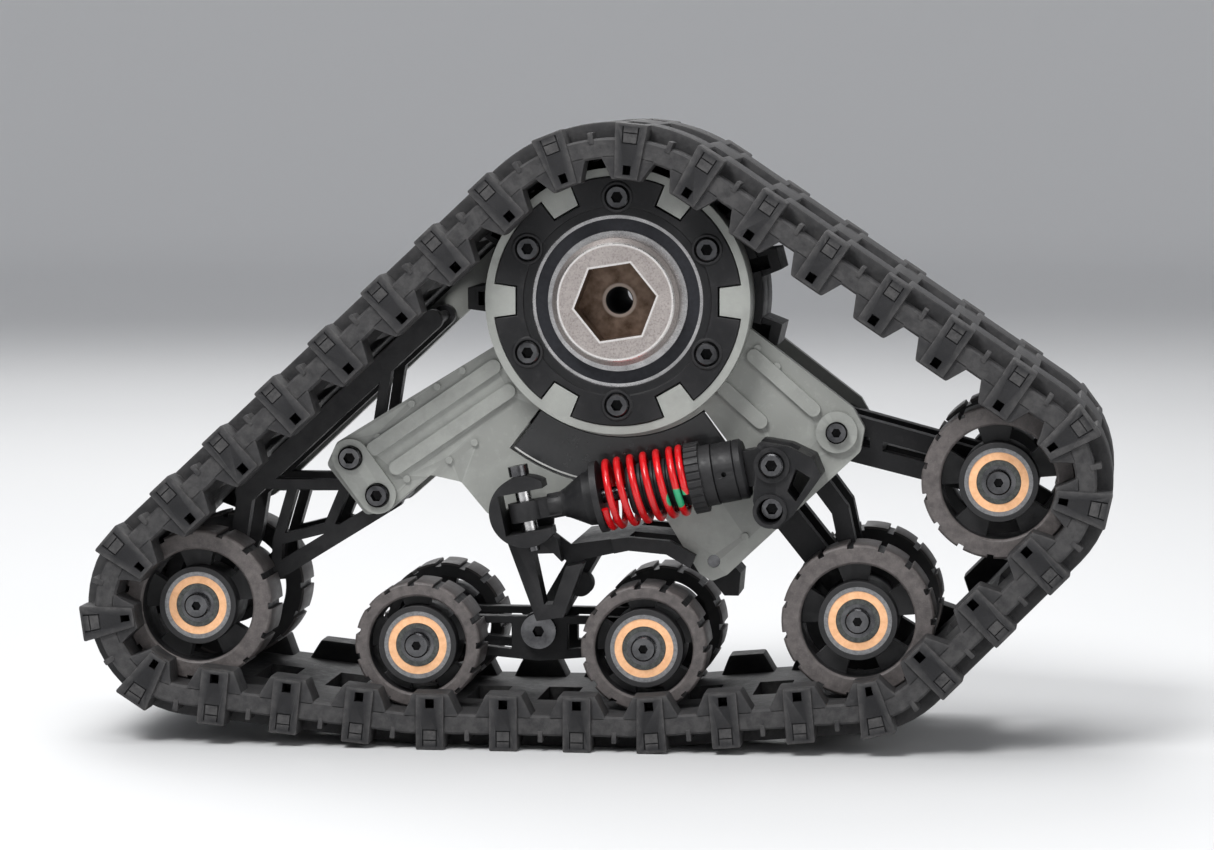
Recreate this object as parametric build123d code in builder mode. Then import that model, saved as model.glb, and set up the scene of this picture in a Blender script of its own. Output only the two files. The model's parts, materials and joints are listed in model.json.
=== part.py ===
"""Triangular rubber track unit for a radio-controlled crawler, in millimetres.

The frame has +Z up, +X along the track and -Y towards the outer side, where the shock absorber is.
The origin is on the hub's axis, midway across the track. The unit stands on the flat run of its belt.
"""

import os
from math import acos, atan2, cos, degrees, hypot, pi, radians, sin

from build123d import *

# ---- Driving dimensions ------------------------------------------------------------------------

TEETH = 13  # sprocket teeth
LINKS = 33  # tread lugs round the belt
PITCH = 17.4  # length of belt from lug to lug, on its neutral line
BELT_W = 75.0
CARCASS = 4.8  # belt thickness between lugs
TREAD_H = 3.7  # outer lug height
GUIDE_H = 4.8  # inner lug height

BIG_R = PITCH * TEETH / (4 * pi)  # large road wheels turn twice for each turn of the sprocket
SMALL_R = BIG_R / 1.2  # bogie wheels turn 2.4 times
SPROCKET_R = PITCH * TEETH / (2 * pi)  # neutral line of the belt on the sprocket

# Axes, as (x, z) from the hub's axis.
HUB = (0.0, 0.0)
NOSE = (-100.6, -73.1)
BOGIE_LEFT = (-47.6, -81.8)
BOGIE_RIGHT = (6.4, -81.8)
TOE = (56.8, -74.5)
TAIL = (89.4, -41.5)
BOGIE_PIVOT = (-20.6, -80.0)
ARM_PIVOT = (22.0, -62.0)
BALL = (-21.4, -49.5)  # rod end of the shock absorber
SHOCK_EYE = (37.0, -37.5)

# Depths, as distances from the middle plane.
GUIDE_Y = 28.5  # inner face of the guide lugs
WHEEL_Y = (13.5, 27.5)  # inner and outer faces of a wheel disc
PLATE_Y = (14.0, 17.5)  # inner and outer faces of the side plates
RING_Y = 26.6  # outer face of the side plates' rings
ARM_Y = 12.0  # half width of the wheel carriers
LINK_Y = 7.5  # half width of the suspension arm's middle link
SHOCK_Y = -27.2  # depth of the shock absorber's axis

AXLE_R = 4.0
HUB_R = 15.0
HUB_Y = 31.0
BEARING = (8.0, 4.0, 5.0)  # wheel bearing: outer radius, bore radius, width
MAIN_BEARING = (21.0, 15.0, 6.0)  # hub bearing
RACE_T = 1.6  # thickness of the hub bearings' races
RING_R = 31.3
RETAINER_R = 29.2
TOOTH_TOP = SPROCKET_R + 1.9
DRUM_R = SPROCKET_R - CARCASS / 2 - 0.4

CLEAR = 0.05  # running clearance on a radius
THROUGH = 40.0  # half length of a hole that goes through everything

# M3 socket screws: shank, the plain hole that it passes through, head, and the head's counterbore.
SHANK_R = 1.5
HOLE_R = 1.55
HEAD_R = 2.75
HEAD_SEAT_R = 2.95

os.makedirs("parts", exist_ok=True)


# ---- Helpers -----------------------------------------------------------------------------------


def at_y(y):
    """The drawing plane at depth y, seen from the outer side: local x is +X and local y is +Z."""
    return Plane.XZ.offset(-y)


def rod(centre, radius, y0, y1, mode=Mode.ADD):
    """A round bar, or a hole, along Y from y0 to y1."""
    with BuildSketch(at_y(y0)) as section:
        with Locations(centre):
            Circle(radius)
    extrude(section.sketch, amount=y0 - y1, mode=mode)


def slab(points, y0, y1, mode=Mode.ADD):
    """A straight-sided plate along Y from y0 to y1."""
    with BuildSketch(at_y(y0)) as section:
        Polygon(*points, align=None)
    extrude(section.sketch, amount=y0 - y1, mode=mode)


def bar(start, end, width, y0, y1, mode=Mode.ADD):
    """A round-ended bar from point to point, from y0 to y1 along Y."""
    length = hypot(end[0] - start[0], end[1] - start[1])
    middle = ((start[0] + end[0]) / 2, (start[1] + end[1]) / 2)
    turn = degrees(atan2(end[1] - start[1], end[0] - start[0]))
    with BuildSketch(at_y(y0)) as section:
        with Locations(Location((*middle, 0), (0, 0, turn))):
            SlotCenterToCenter(length, width)
    extrude(section.sketch, amount=y0 - y1, mode=mode)


def hole(centre, radius, y0=-THROUGH, y1=THROUGH):
    """A round hole along Y, which goes right through unless its ends are given."""
    rod(centre, radius, y0, y1, mode=Mode.SUBTRACT)


def ring(centre, outer, inner, y0, y1, mode=Mode.ADD):
    """A flat ring from y0 to y1 along Y."""
    with BuildSketch(at_y(y0)) as section:
        with Locations(centre):
            Circle(outer)
            Circle(inner, mode=Mode.SUBTRACT)
    extrude(section.sketch, amount=y0 - y1, mode=mode)


def screw(centre, seat, facing, length, head_r=HEAD_R, head_h=3.0, socket=2.5):
    """A socket screw along Y. seat is the depth under its head, and facing is -1 if the head looks to -Y."""
    top = seat + facing * head_h
    rod(centre, head_r, seat, top)
    rod(centre, SHANK_R, seat, seat - facing * length)

    def on_top(edge):
        away = hypot(edge.arc_center.X - centre[0], edge.arc_center.Z - centre[1])
        return abs(edge.center().Y - top) < 1e-4 and abs(edge.radius - head_r) < 1e-4 and away < 1e-3

    chamfer(edges().filter_by(GeomType.CIRCLE).filter_by(on_top), 0.35)
    with BuildSketch(at_y(top)) as section:
        with Locations(centre):
            RegularPolygon(socket / 2, 6, major_radius=False)
    extrude(section.sketch, amount=facing * head_h * 0.55, mode=Mode.SUBTRACT)


def around(centre, radius, angle):
    """The point at that angle and radius from a centre."""
    return (centre[0] + radius * cos(radians(angle)), centre[1] + radius * sin(radians(angle)))


def sector(centre, r0, r1, a0, a1):
    """A sector of a ring, in the open sketch."""
    with BuildLine() as outline:
        CenterArc(centre, r1, a0, a1 - a0)
        CenterArc(centre, r0, a0, a1 - a0)
        Line(around(centre, r0, a0), around(centre, r1, a0))
        Line(around(centre, r0, a1), around(centre, r1, a1))
    make_face(outline.edges())


def save(part, name):
    part.label = name
    export_step(part, f"parts/{name}.step")


# ---- Belt --------------------------------------------------------------------------------------

NEUTRAL = CARCASS / 2
FIRST_LUG = 83.7  # angle on the sprocket of the lug that the count starts from
LOOP = [(HUB, SPROCKET_R - NEUTRAL), (NOSE, BIG_R), (BOGIE_LEFT, SMALL_R), (BOGIE_RIGHT, SMALL_R),
        (TOE, BIG_R), (TAIL, BIG_R)]


def belt_runs(offset):
    """The belt's straight runs, anticlockwise, at that distance outside the wheels' surfaces.

    Each run is (start, end, normal angle in degrees, index of the wheel that it leaves)."""
    runs = []
    for i, (here, r0) in enumerate(LOOP):
        there, r1 = LOOP[(i + 1) % len(LOOP)]
        dx, dz = there[0] - here[0], there[1] - here[1]
        normal = degrees(atan2(dz, dx) - acos((r0 - r1) / hypot(dx, dz)))
        runs.append((around(here, r0 + offset, normal), around(there, r1 + offset, normal), normal, i))
    return runs


def belt_wire(offset):
    """The closed line of the belt at that offset, as straight runs and arcs round the wheels."""
    runs = belt_runs(offset)
    for k, (start, end, normal, i) in enumerate(runs):
        before = runs[k - 1][2]
        centre, radius = LOOP[i]
        CenterArc(centre, radius + offset, before, (normal - before) % 360)
        Line(start, end)


def belt_stations(shift):
    """Where the lugs stand: (x, z, turn) with local y outwards. shift moves them along, in pitches."""
    runs = belt_runs(NEUTRAL)
    legs, total = [], 0.0
    for k, (start, end, normal, i) in enumerate(runs):
        before = runs[k - 1][2]
        centre, radius = LOOP[i][0], LOOP[i][1] + NEUTRAL
        sweep_angle = (normal - before) % 360
        arc = radius * radians(sweep_angle)
        line = hypot(end[0] - start[0], end[1] - start[1])
        legs.append((total, arc, line, centre, radius, before, start, end, normal))
        total += arc + line
    step = total / LINKS
    first = radians(FIRST_LUG - legs[0][5]) * legs[0][4]
    found = []
    for n in range(LINKS):
        s = (first + (n + shift) * step) % total
        for begin, arc, line, centre, radius, before, start, end, normal in legs:
            if begin <= s < begin + arc:
                angle = before + degrees((s - begin) / radius)
                found.append((*around(centre, radius, angle), angle - 90))
            elif begin + arc <= s < begin + arc + line:
                t = (s - begin - arc) / line
                x, z = (start[j] + t * (end[j] - start[j]) for j in (0, 1))
                found.append((x, z, normal - 90))
    return found, step


LUGS, STEP = belt_stations(0)
GAPS, _ = belt_stations(0.5)
LUG_W = 6.7  # width of a tread bar along the belt
PAD_W = 13.9  # width of a shoulder block, which stands between two bars
GUIDE_BASE = 14.4  # guide lug, at its root in the carcass and at its tip
GUIDE_TIP = 8.5
WINDOW = (8.4, 22.0)  # drive window, along and across the belt
SHOULDER_Y = 13.0  # inner edge of the shoulder blocks
ROOT = 1.6  # how far lugs are rooted in the carcass
GROUND_Z = BOGIE_LEFT[1] - SMALL_R - CARCASS - TREAD_H


def carcass():
    with BuildLine() as outside:
        belt_wire(CARCASS)
    make_face(outside.edges())
    with BuildLine() as inside:
        belt_wire(0)
    make_face(inside.edges(), mode=Mode.SUBTRACT)


def tread(stations, width):
    for x, z, turn in stations:
        with Locations(Location((x, z, 0), (0, 0, turn))):
            with Locations((0, NEUTRAL - ROOT)):
                Rectangle(width, TREAD_H + ROOT, align=(Align.CENTER, Align.MIN))


def guide_lugs():
    tip = NEUTRAL + GUIDE_H
    root = NEUTRAL - ROOT
    for x, z, turn in LUGS:
        with Locations(Location((x, z, 0), (0, 0, turn))):
            Polygon((-GUIDE_BASE / 2, -root), (-GUIDE_TIP / 2, -tip), (GUIDE_TIP / 2, -tip),
                    (GUIDE_BASE / 2, -root), align=None)


def make_belt():
    edge = BELT_W / 2
    with BuildPart() as belt:
        for y0, y1 in ((-edge, -GUIDE_Y), (GUIDE_Y, edge)):
            with BuildSketch(at_y(y0)):
                carcass()
                tread(LUGS, LUG_W)
                guide_lugs()
            extrude(amount=y0 - y1)
        for y0, y1 in ((-GUIDE_Y, -SHOULDER_Y), (SHOULDER_Y, GUIDE_Y)):
            with BuildSketch(at_y(y0)):
                carcass()
                tread(GAPS, PAD_W)
            extrude(amount=y0 - y1)
        with BuildSketch(at_y(-SHOULDER_Y)):
            carcass()
            tread(LUGS, LUG_W)
        extrude(amount=-2 * SHOULDER_Y)
        with BuildSketch(at_y(-WINDOW[1] / 2)):
            for x, z, turn in GAPS:
                with Locations(Location((x, z, 0), (0, 0, turn))):
                    Rectangle(WINDOW[0], CARCASS * 1.8)
        extrude(amount=-WINDOW[1], mode=Mode.SUBTRACT)
        # The tread stands flat on the ground.
        split(bisect_by=Plane.XY.offset(GROUND_Z), keep=Keep.TOP)
    save(belt.part, "track_belt")


# ---- Sprocket and hub --------------------------------------------------------------------------

TOOTH_ROOT_W = 7.0
TOOTH_FLANK = 82  # degrees
TOOTH_SINK = 2.0  # how far teeth are rooted in the drum
TOOTH_Y = 10.2  # half width of the teeth
DRUM_Y = 13.0
WEB_DEPTH = 6.0  # of the hollow in each side face
POCKET = (6.6, 3.2, 9.0)  # core behind each tooth: along the rim, radially, and its depth
BOLT_HEAD_SINK = 3.2
FLANGE = (24.0, 2.0)  # hub flange: radius and half thickness
JOURNAL_R = 17.2  # hub between its bearings
TOOTH_ANGLES = [FIRST_LUG + (n + 0.5) * 360 / TEETH for n in range(TEETH)]
SPROCKET_BOLTS = [around(HUB, 20.4, 30 + 60 * n) for n in range(6)]


def make_sprocket_half(name, side):
    with BuildPart() as half:
        ring(HUB, DRUM_R, JOURNAL_R + CLEAR, 0, side * DRUM_Y)
        with BuildSketch(at_y(0)):
            for angle in TOOTH_ANGLES:
                with Locations(Location((*around(HUB, DRUM_R - TOOTH_SINK, angle), 0), (0, 0, angle))):
                    Trapezoid(TOOTH_ROOT_W, TOOTH_TOP - DRUM_R + TOOTH_SINK, TOOTH_FLANK, rotation=-90,
                              align=(Align.CENTER, Align.MIN))
        extrude(amount=-side * TOOTH_Y)
        # The side face is hollow inside the rim, with a core behind each tooth.
        with BuildSketch(at_y(side * DRUM_Y)):
            Circle(DRUM_R - 6.2)
            Circle(JOURNAL_R + 6.4, mode=Mode.SUBTRACT)
        extrude(amount=side * WEB_DEPTH, mode=Mode.SUBTRACT)
        with BuildSketch(at_y(side * DRUM_Y)):
            for angle in TOOTH_ANGLES:
                with Locations(Location((*around(HUB, DRUM_R - 1.2, angle), 0), (0, 0, angle))):
                    Rectangle(*POCKET[:2])
        extrude(amount=side * POCKET[2], mode=Mode.SUBTRACT)
        ring(HUB, FLANGE[0] + 0.1, 1, 0, side * FLANGE[1], mode=Mode.SUBTRACT)
        for place in SPROCKET_BOLTS:
            hole(place, HOLE_R + 0.05, 0, side * DRUM_Y)
            hole(place, HEAD_SEAT_R + 0.05, side * (DRUM_Y - BOLT_HEAD_SINK), side * DRUM_Y)
    save(half.part, name)


HEX_AF = 17.0  # wrench socket in the outer face
DRIVE_AF = 12.0  # drive socket in the inner face, for the vehicle's wheel hex
SOCKET_TURN = 9  # degrees
SOCKET_DEPTH = 9.0
AXLE_HOLE_R = 3.1
BEARING_Y = 19.6  # inner faces of the hub's bearings


def make_hub():
    with BuildPart() as hub:
        rod(HUB, HUB_R, -HUB_Y, HUB_Y)
        rod(HUB, JOURNAL_R, -BEARING_Y, BEARING_Y)
        rod(HUB, FLANGE[0], -FLANGE[1], FLANGE[1])
        chamfer(edges().filter_by(lambda e: abs(abs(e.center().Y) - HUB_Y) < 1e-4), 1.3)
        for side, across in ((-1, HEX_AF), (1, DRIVE_AF)):
            with BuildSketch(at_y(side * HUB_Y)):
                RegularPolygon(across / 2, 6, major_radius=False, rotation=SOCKET_TURN)
            extrude(amount=side * SOCKET_DEPTH, mode=Mode.SUBTRACT)
        hole(HUB, AXLE_HOLE_R)
        for place in SPROCKET_BOLTS:
            hole(place, HOLE_R + 0.05)
    save(hub.part, "drive_hub")


def make_sprocket_screws():
    with BuildPart() as screws:
        for place in SPROCKET_BOLTS:
            screw(place, BOLT_HEAD_SINK - DRUM_Y, -1, 2 * DRUM_Y - 7)
    save(screws.part, "sprocket_screws")


def make_main_bearings():
    outer, inner, width = MAIN_BEARING
    y0, y1 = BEARING_Y, BEARING_Y + width
    with BuildPart() as races:
        for side in (-1, 1):
            ring(HUB, outer, outer - RACE_T, side * y0, side * y1)
    save(races.part, "main_bearing_outer_races")
    with BuildPart() as cores:
        for side in (-1, 1):
            ring(HUB, inner + RACE_T - 0.1, inner + 0.02, side * y0, side * y1)
    save(cores.part, "main_bearing_inner_races")
    with BuildPart() as seals:
        for side in (-1, 1):
            ring(HUB, outer - RACE_T, inner + RACE_T, side * (y1 - 0.9), side * (y1 - 0.3))
    save(seals.part, "main_bearing_seals")


# ---- Side plates -------------------------------------------------------------------------------

NOSE_BOLTS = [(-65.0, -38.2), (-58.5, -47.1)]
CORNER = (51.1, -31.0)
BRACKET_BOLT = (36.6, -48.3)
TAIL_BOLT = (44.5, -36.5)  # behind the bracket, where the toe carrier is fastened
SCREW_ANGLES = [30 + 60 * n for n in range(6)]
TAB_ANGLES = [60 * n for n in range(6)]
RETAINER_BOLTS = [around(HUB, 24.4, a) for a in SCREW_ANGLES]

PLATE_OUTLINE = [(-25, -8), (-68.5, -34.6), (-71.0, -40.0), (-61.5, -52.0), (-56.0, -51.0),
                 (-46.0, -42.2), (-38.5, -43.8), (-32.0, -51.5), (-21.0, -51.5), (-15.5, -46.0), (5.5, -46.0),
                 (11.0, -52.6), (18.6, -65.0), (21.5, -66.8), (25.2, -65.2), (56.6, -35.6), (57.6, -30.0),
                 (54.8, -25.2), (27.0, -4.0)]
RETAINER_SEAT_Y = 24.6  # under the heads of the retainers' screws
RETAINER_Y = RING_Y + 0.4  # outer face of the retainers
RIM_Y = 20.6  # floor of the recess that the retainer lies in
TAB = (8.2, 6.5, 82)  # the ring's tabs: width at the root, length and flank angle
TAB_TIP_R = 24.1
CUTOUT = (32.6, 44.6, -127.0, -53.0)  # opening below the ring: radii and angles
LEFT_RIBS = [((-59.5, -36.0), (-30.5, -16.2)), ((-54.0, -40.5), (-27.0, -22.0))]
RIGHT_RIBS = [((31.5, -13.2), (45.5, -25.6)), ((24.5, -21.0), (33.0, -28.6))]
RIVETS = [(-38.1, -17.2), (-44.2, -21.1), (-50.3, -25.2), (-58.5, -33.3), (-51.5, -43.2), (-41.3, -38.6),
          (-35.2, -34.3), (32.3, -11.3), (36.9, -15.5), (45.1, -24.4), (29.5, -56.0)]


def tab(angle, grow=0.0):
    """One of the ring's tabs, larger by grow all round, in the open sketch."""
    width, length, flank = TAB
    with Locations(Location((*around(HUB, TAB_TIP_R - grow, angle), 0), (0, 0, angle))):
        Trapezoid(width + 2 * grow, length + 2 * grow, flank, rotation=90, align=(Align.CENTER, Align.MAX))


def plate_body(side):
    """What both side plates share: the W-shaped plate, the bearing ring and its six tabs."""
    y0, y1 = (side * y for y in PLATE_Y)
    with BuildSketch(at_y(y0)) as outline:
        Polygon(*PLATE_OUTLINE, align=None)
        fillet(vertices(), 1.6)
    extrude(outline.sketch, amount=y0 - y1)
    with BuildSketch(at_y(y0)) as opening:
        sector(HUB, *CUTOUT)
    extrude(opening.sketch, amount=y0 - y1, mode=Mode.SUBTRACT)
    ring(HUB, RING_R, 12, y0, side * RING_Y)
    hole(HUB, RETAINER_R + 0.2, side * RIM_Y, side * RING_Y)
    hole(HUB, MAIN_BEARING[0], side * BEARING_Y, side * RIM_Y)
    hole(HUB, JOURNAL_R + 1.2, side * PLATE_Y[0], side * BEARING_Y)
    with BuildSketch(at_y(side * RIM_Y)) as tabs:
        for angle in TAB_ANGLES:
            tab(angle)
    extrude(tabs.sketch, amount=side * (RIM_Y - RING_Y))
    for place in RETAINER_BOLTS:
        hole(place, SHANK_R, side * PLATE_Y[0], side * RIM_Y)


def plate_holes(side):
    for place in (*NOSE_BOLTS, CORNER, TAIL_BOLT, ARM_PIVOT):
        hole(place, HOLE_R, side * PLATE_Y[0], side * THROUGH)


def make_outer_plate():
    face = -PLATE_Y[1]
    with BuildPart() as plate:
        plate_body(-1)
        bar(NOSE_BOLTS[0], NOSE_BOLTS[1], 9.0, face, face - 1.6)
        rod(CORNER, 4.9, face, face - 1.4)
        for start, end in LEFT_RIBS + RIGHT_RIBS:
            bar(start, end, 3.4, face, face - 1.1)
        for place in RIVETS:
            rod(place, 0.85, face, face - 0.7)
        plate_holes(-1)
        for place in NOSE_BOLTS:
            hole(place, HEAD_SEAT_R + 0.05, face - 0.2, face - 3)
        hole(BRACKET_BOLT, SHANK_R, face, -PLATE_Y[0])
        hole(SHOCK_EYE, HOLE_R, face, -PLATE_Y[0])
    save(plate.part, "outer_plate")


BRACE = ((-92.0, -47.6), (-30.5, 10.4))  # rail beside the belt's upper run
STOP_BOSS = (36.0, -26.0)  # bosses for the stop that keeps the unit from turning with its axle


def make_inner_plate():
    face = PLATE_Y[1]
    with BuildPart() as plate:
        plate_body(1)
        bar(*BRACE, 7.0, *PLATE_Y)
        bar(BRACE[0], NOSE_BOLTS[1], 4.0, *PLATE_Y)
        for x in (-STOP_BOSS[0], STOP_BOSS[0]):
            rod((x, STOP_BOSS[1]), 4.2, face, face + 5)
            hole((x, STOP_BOSS[1]), 1.25, face - 1, face + 5)
        plate_holes(1)
    save(plate.part, "inner_plate")


def make_retainer(name, side):
    with BuildPart() as plate:
        ring(HUB, RETAINER_R, MAIN_BEARING[0] - 0.8, side * RIM_Y, side * RETAINER_Y)
        hole(HUB, MAIN_BEARING[0] + 1.2, side * (RETAINER_Y - 0.5), side * THROUGH)
        hole(HUB, MAIN_BEARING[0] + 0.02, side * RIM_Y, side * (BEARING_Y + MAIN_BEARING[2]))
        with BuildSketch(at_y(side * RIM_Y)):
            for angle in TAB_ANGLES:
                tab(angle, grow=0.4)
        extrude(amount=side * (RIM_Y - THROUGH), mode=Mode.SUBTRACT)
        for place in RETAINER_BOLTS:
            rod(place, HEAD_SEAT_R + 0.7, side * (RETAINER_Y - 0.5), side * (RETAINER_Y + 0.4))
            hole(place, HOLE_R)
            hole(place, HEAD_SEAT_R, side * RETAINER_SEAT_Y, side * THROUGH)
    save(plate.part, name)


def make_label():
    with BuildPart() as label:
        with BuildSketch(at_y(-PLATE_Y[0] - 0.4)):
            sector(HUB, CUTOUT[0] + 0.3, CUTOUT[1] - 0.3, CUTOUT[2] + 1, CUTOUT[3] - 1)
        extrude(amount=2.2)
    save(label.part, "label_plate")


# ---- Wheel carriers ----------------------------------------------------------------------------


def axle_boss(centre, width=ARM_Y, radius=7.0):
    rod(centre, radius, -width, width)


def axle_bore(centre):
    hole(centre, AXLE_R + 0.01)


def make_nose_arm():
    """Lattice arm from the plates' left ends to the nose wheel."""
    rail = ((-92.0, -47.6), (-46.5, -5.6))
    upper = ((-88.0, -45.4), (-64.0, -45.4))
    lower = ((-84.6, -66.8), (-59.0, -51.0))
    middle = ((-84.2, -59.0), (-71.8, -55.8))
    knee = (-94.0, -60.0)
    stout = (lower, (lower[0], NOSE), (rail[0], knee), (knee, NOSE))
    slender = (upper, middle, ((-80.2, -45.4), middle[0]), ((-67.4, -45.4), middle[1]),
               (middle[1], (-68.0, -56.4)), (middle[0], lower[0]), ((-61.0, -40.0), (-57.0, -15.4)))
    with BuildPart() as arm:
        for y0, y1 in ((-ARM_Y, -ARM_Y + 4), (ARM_Y - 4, ARM_Y)):
            bar(*rail, 5.0, y0, y1)
            for start, end in slender:
                bar(start, end, 2.4, y0, y1)
            for start, end in stout:
                bar(start, end, 3.8, y0, y1)
        bar(*rail, 2.6, -ARM_Y, ARM_Y)
        bar(*lower, 2.6, -ARM_Y, ARM_Y)
        bar(NOSE_BOLTS[0], NOSE_BOLTS[1], 8.6, -PLATE_Y[0], PLATE_Y[0])
        axle_boss(NOSE)
        axle_bore(NOSE)
        for place in NOSE_BOLTS:
            hole(place, HOLE_R)
    save(arm.part, "nose_arm")


def make_tail_arm():
    """Two-spar arm from the plates' right corners to the tail wheel."""
    upper = ((51.0, -28.6), (84.0, -37.4))
    lower = ((53.0, -36.0), (84.0, -43.6))
    with BuildPart() as arm:
        for y0, y1 in ((-ARM_Y, -ARM_Y + 6), (ARM_Y - 6, ARM_Y)):
            bar(*upper, 4.2, y0, y1)
            bar(*lower, 4.2, y0, y1)
        bar(*upper, 2.0, -ARM_Y, ARM_Y)
        bar((60.0, -32.0), (60.0, -37.0), 3.0, -ARM_Y, ARM_Y)
        rod(CORNER, 4.6, -PLATE_Y[0], PLATE_Y[0])
        bar(CORNER, lower[0], 4.4, -ARM_Y, ARM_Y)
        axle_boss(TAIL)
        axle_bore(TAIL)
        hole(CORNER, HOLE_R)
    save(arm.part, "tail_arm")


def make_toe_arm():
    """Arm from the plates' lower right edges to the toe wheel."""
    foot = (36.0, -48.6)
    knee = (51.5, -50.0)
    bolt_end = -6  # how deep the bracket's screws reach
    with BuildPart() as arm:
        for y0, y1 in ((-ARM_Y, -ARM_Y + 5), (ARM_Y - 5, ARM_Y)):
            bar(foot, TOE, 6.4, y0, y1)
            bar((44.0, -40.0), knee, 4.2, y0, y1)
            bar(knee, TOE, 4.2, y0, y1)
        bar(foot, TOE, 3.0, -ARM_Y, ARM_Y)
        bar(foot, TAIL_BOLT, 7.0, -PLATE_Y[0], PLATE_Y[0])
        axle_boss(TOE)
        axle_bore(TOE)
        hole(TAIL_BOLT, HOLE_R)
        hole(BRACKET_BOLT, SHANK_R, -THROUGH, bolt_end)
        hole(SHOCK_EYE, SHANK_R + 0.2, -THROUGH, bolt_end)
    save(arm.part, "toe_arm")


# ---- Road wheels -------------------------------------------------------------------------------

BIG_RIM = 4.6
SMALL_RIM = 3.4
WHEELS = {"nose": (NOSE, BIG_R, BIG_RIM), "bogie_left": (BOGIE_LEFT, SMALL_R, SMALL_RIM),
          "bogie_right": (BOGIE_RIGHT, SMALL_R, SMALL_RIM), "toe": (TOE, BIG_R, BIG_RIM),
          "tail": (TAIL, BIG_R, BIG_RIM)}
FIXED = ("nose", "toe", "tail")
WEB_FACES = (18.5, 22.5)  # the thin web that the spokes are left of
NOTCH = (1.9, 1.5)
BOSS_R = 9.3
SPOKES = 5
FIRST_GAP = 59  # angle of the first gap between spokes, and how wide each gap is
GAP_ANGLE = 36
NOTCHES = 15


def make_wheel_disc(name, centre, radius, rim, side):
    inner, outer = (side * y for y in WHEEL_Y)
    seat = side * (WHEEL_Y[1] - 0.4 - BEARING[2])
    with BuildPart() as disc:
        ring(centre, radius - 0.02, radius - rim, inner, outer)
        chamfer(edges().filter_by(lambda e: abs(e.center().Y - outer) < 1e-4), 0.5)
        rod(centre, radius - rim + 0.5, side * WEB_FACES[0], side * WEB_FACES[1])
        with BuildSketch(at_y(side * WEB_FACES[0])):
            for n in range(SPOKES):
                middle = FIRST_GAP + 360 / SPOKES * n
                sector(centre, BOSS_R, radius - rim, middle - GAP_ANGLE / 2, middle + GAP_ANGLE / 2)
        extrude(amount=side * (WEB_FACES[0] - WEB_FACES[1]), mode=Mode.SUBTRACT)
        rod(centre, BOSS_R, inner, side * (WHEEL_Y[1] - 0.2))
        hole(centre, BEARING[0] + 0.01, seat, outer)
        hole(centre, AXLE_R + 2.6, inner, outer)
        with BuildSketch(at_y(inner)):
            with Locations(centre):
                with PolarLocations(radius, NOTCHES):
                    Rectangle(*NOTCH)
        extrude(amount=inner - outer, mode=Mode.SUBTRACT)
    save(disc.part, name)


def make_wheel_bearings(name, centres, part_of):
    """One kind of bearing piece for both discs of each wheel in centres."""
    outer, bore, width = BEARING
    y1 = WHEEL_Y[1] - 0.4
    y0 = y1 - width
    with BuildPart() as pieces:
        for centre in centres:
            for side in (-1, 1):
                if part_of == "race":
                    ring(centre, outer, outer - 1.0, side * y0, side * y1)
                elif part_of == "seal":
                    ring(centre, outer - 1.0, bore + 1.2, side * (y1 - 0.7), side * (y1 - 0.15))
                else:
                    ring(centre, bore + 1.1, bore + 0.01, side * y0, side * y1)
    save(pieces.part, name)


def make_axles(name, centres):
    end = WHEEL_Y[1] - 0.3
    with BuildPart() as axles:
        for centre in centres:
            rod(centre, AXLE_R, -end, end)
            for side in (-1, 1):
                hole(centre, SHANK_R, side * (end - 9), side * end)
    save(axles.part, name)


def make_axle_screws(name, centres):
    seat = WHEEL_Y[1] - 0.3
    with BuildPart() as screws:
        for centre in centres:
            for side in (-1, 1):
                screw(centre, side * seat, side, 8, head_r=2.95, head_h=1.7, socket=2.0)
    save(screws.part, name)


# ---- Suspension --------------------------------------------------------------------------------

SHOCK_ANGLE = degrees(atan2(SHOCK_EYE[1] - BALL[1], SHOCK_EYE[0] - BALL[0]))
SHOCK_LENGTH = hypot(SHOCK_EYE[0] - BALL[0], SHOCK_EYE[1] - BALL[1])
SHOCK_DIR = (cos(radians(SHOCK_ANGLE)), 0, sin(radians(SHOCK_ANGLE)))
UP_DIR = (-sin(radians(SHOCK_ANGLE)), 0, cos(radians(SHOCK_ANGLE)))
SHOCK = Plane(origin=(BALL[0], SHOCK_Y, BALL[1]), x_dir=UP_DIR, z_dir=SHOCK_DIR)
ACROSS = Plane(origin=SHOCK.origin, x_dir=(0, 1, 0), z_dir=UP_DIR)  # looking down the ball's screw
BALL_R = 2.9
SHAFT_R = 1.75

# Places along the shock absorber, from its ball to its eye.
SEAT_S = (9.0, 18.4)
SPRING_S = (18.4, 39.6)
COLLAR_S = (39.6, 42.8)
BODY_S = (25.0, 45.6)
CAP_S = (45.6, 53.2)
SHAFT_S = (4.6, 31.5)
BODY_R = 6.0
SPRING_R = 8.5
CAP_R = 7.1
COLLAR_R = 8.4
WIRE_R = 0.85
COILS = 6.5
THREAD = (2.0, 1.5, 0.4)  # body's thread: where it starts, its pitch and its depth
KNURLS = 28

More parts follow.
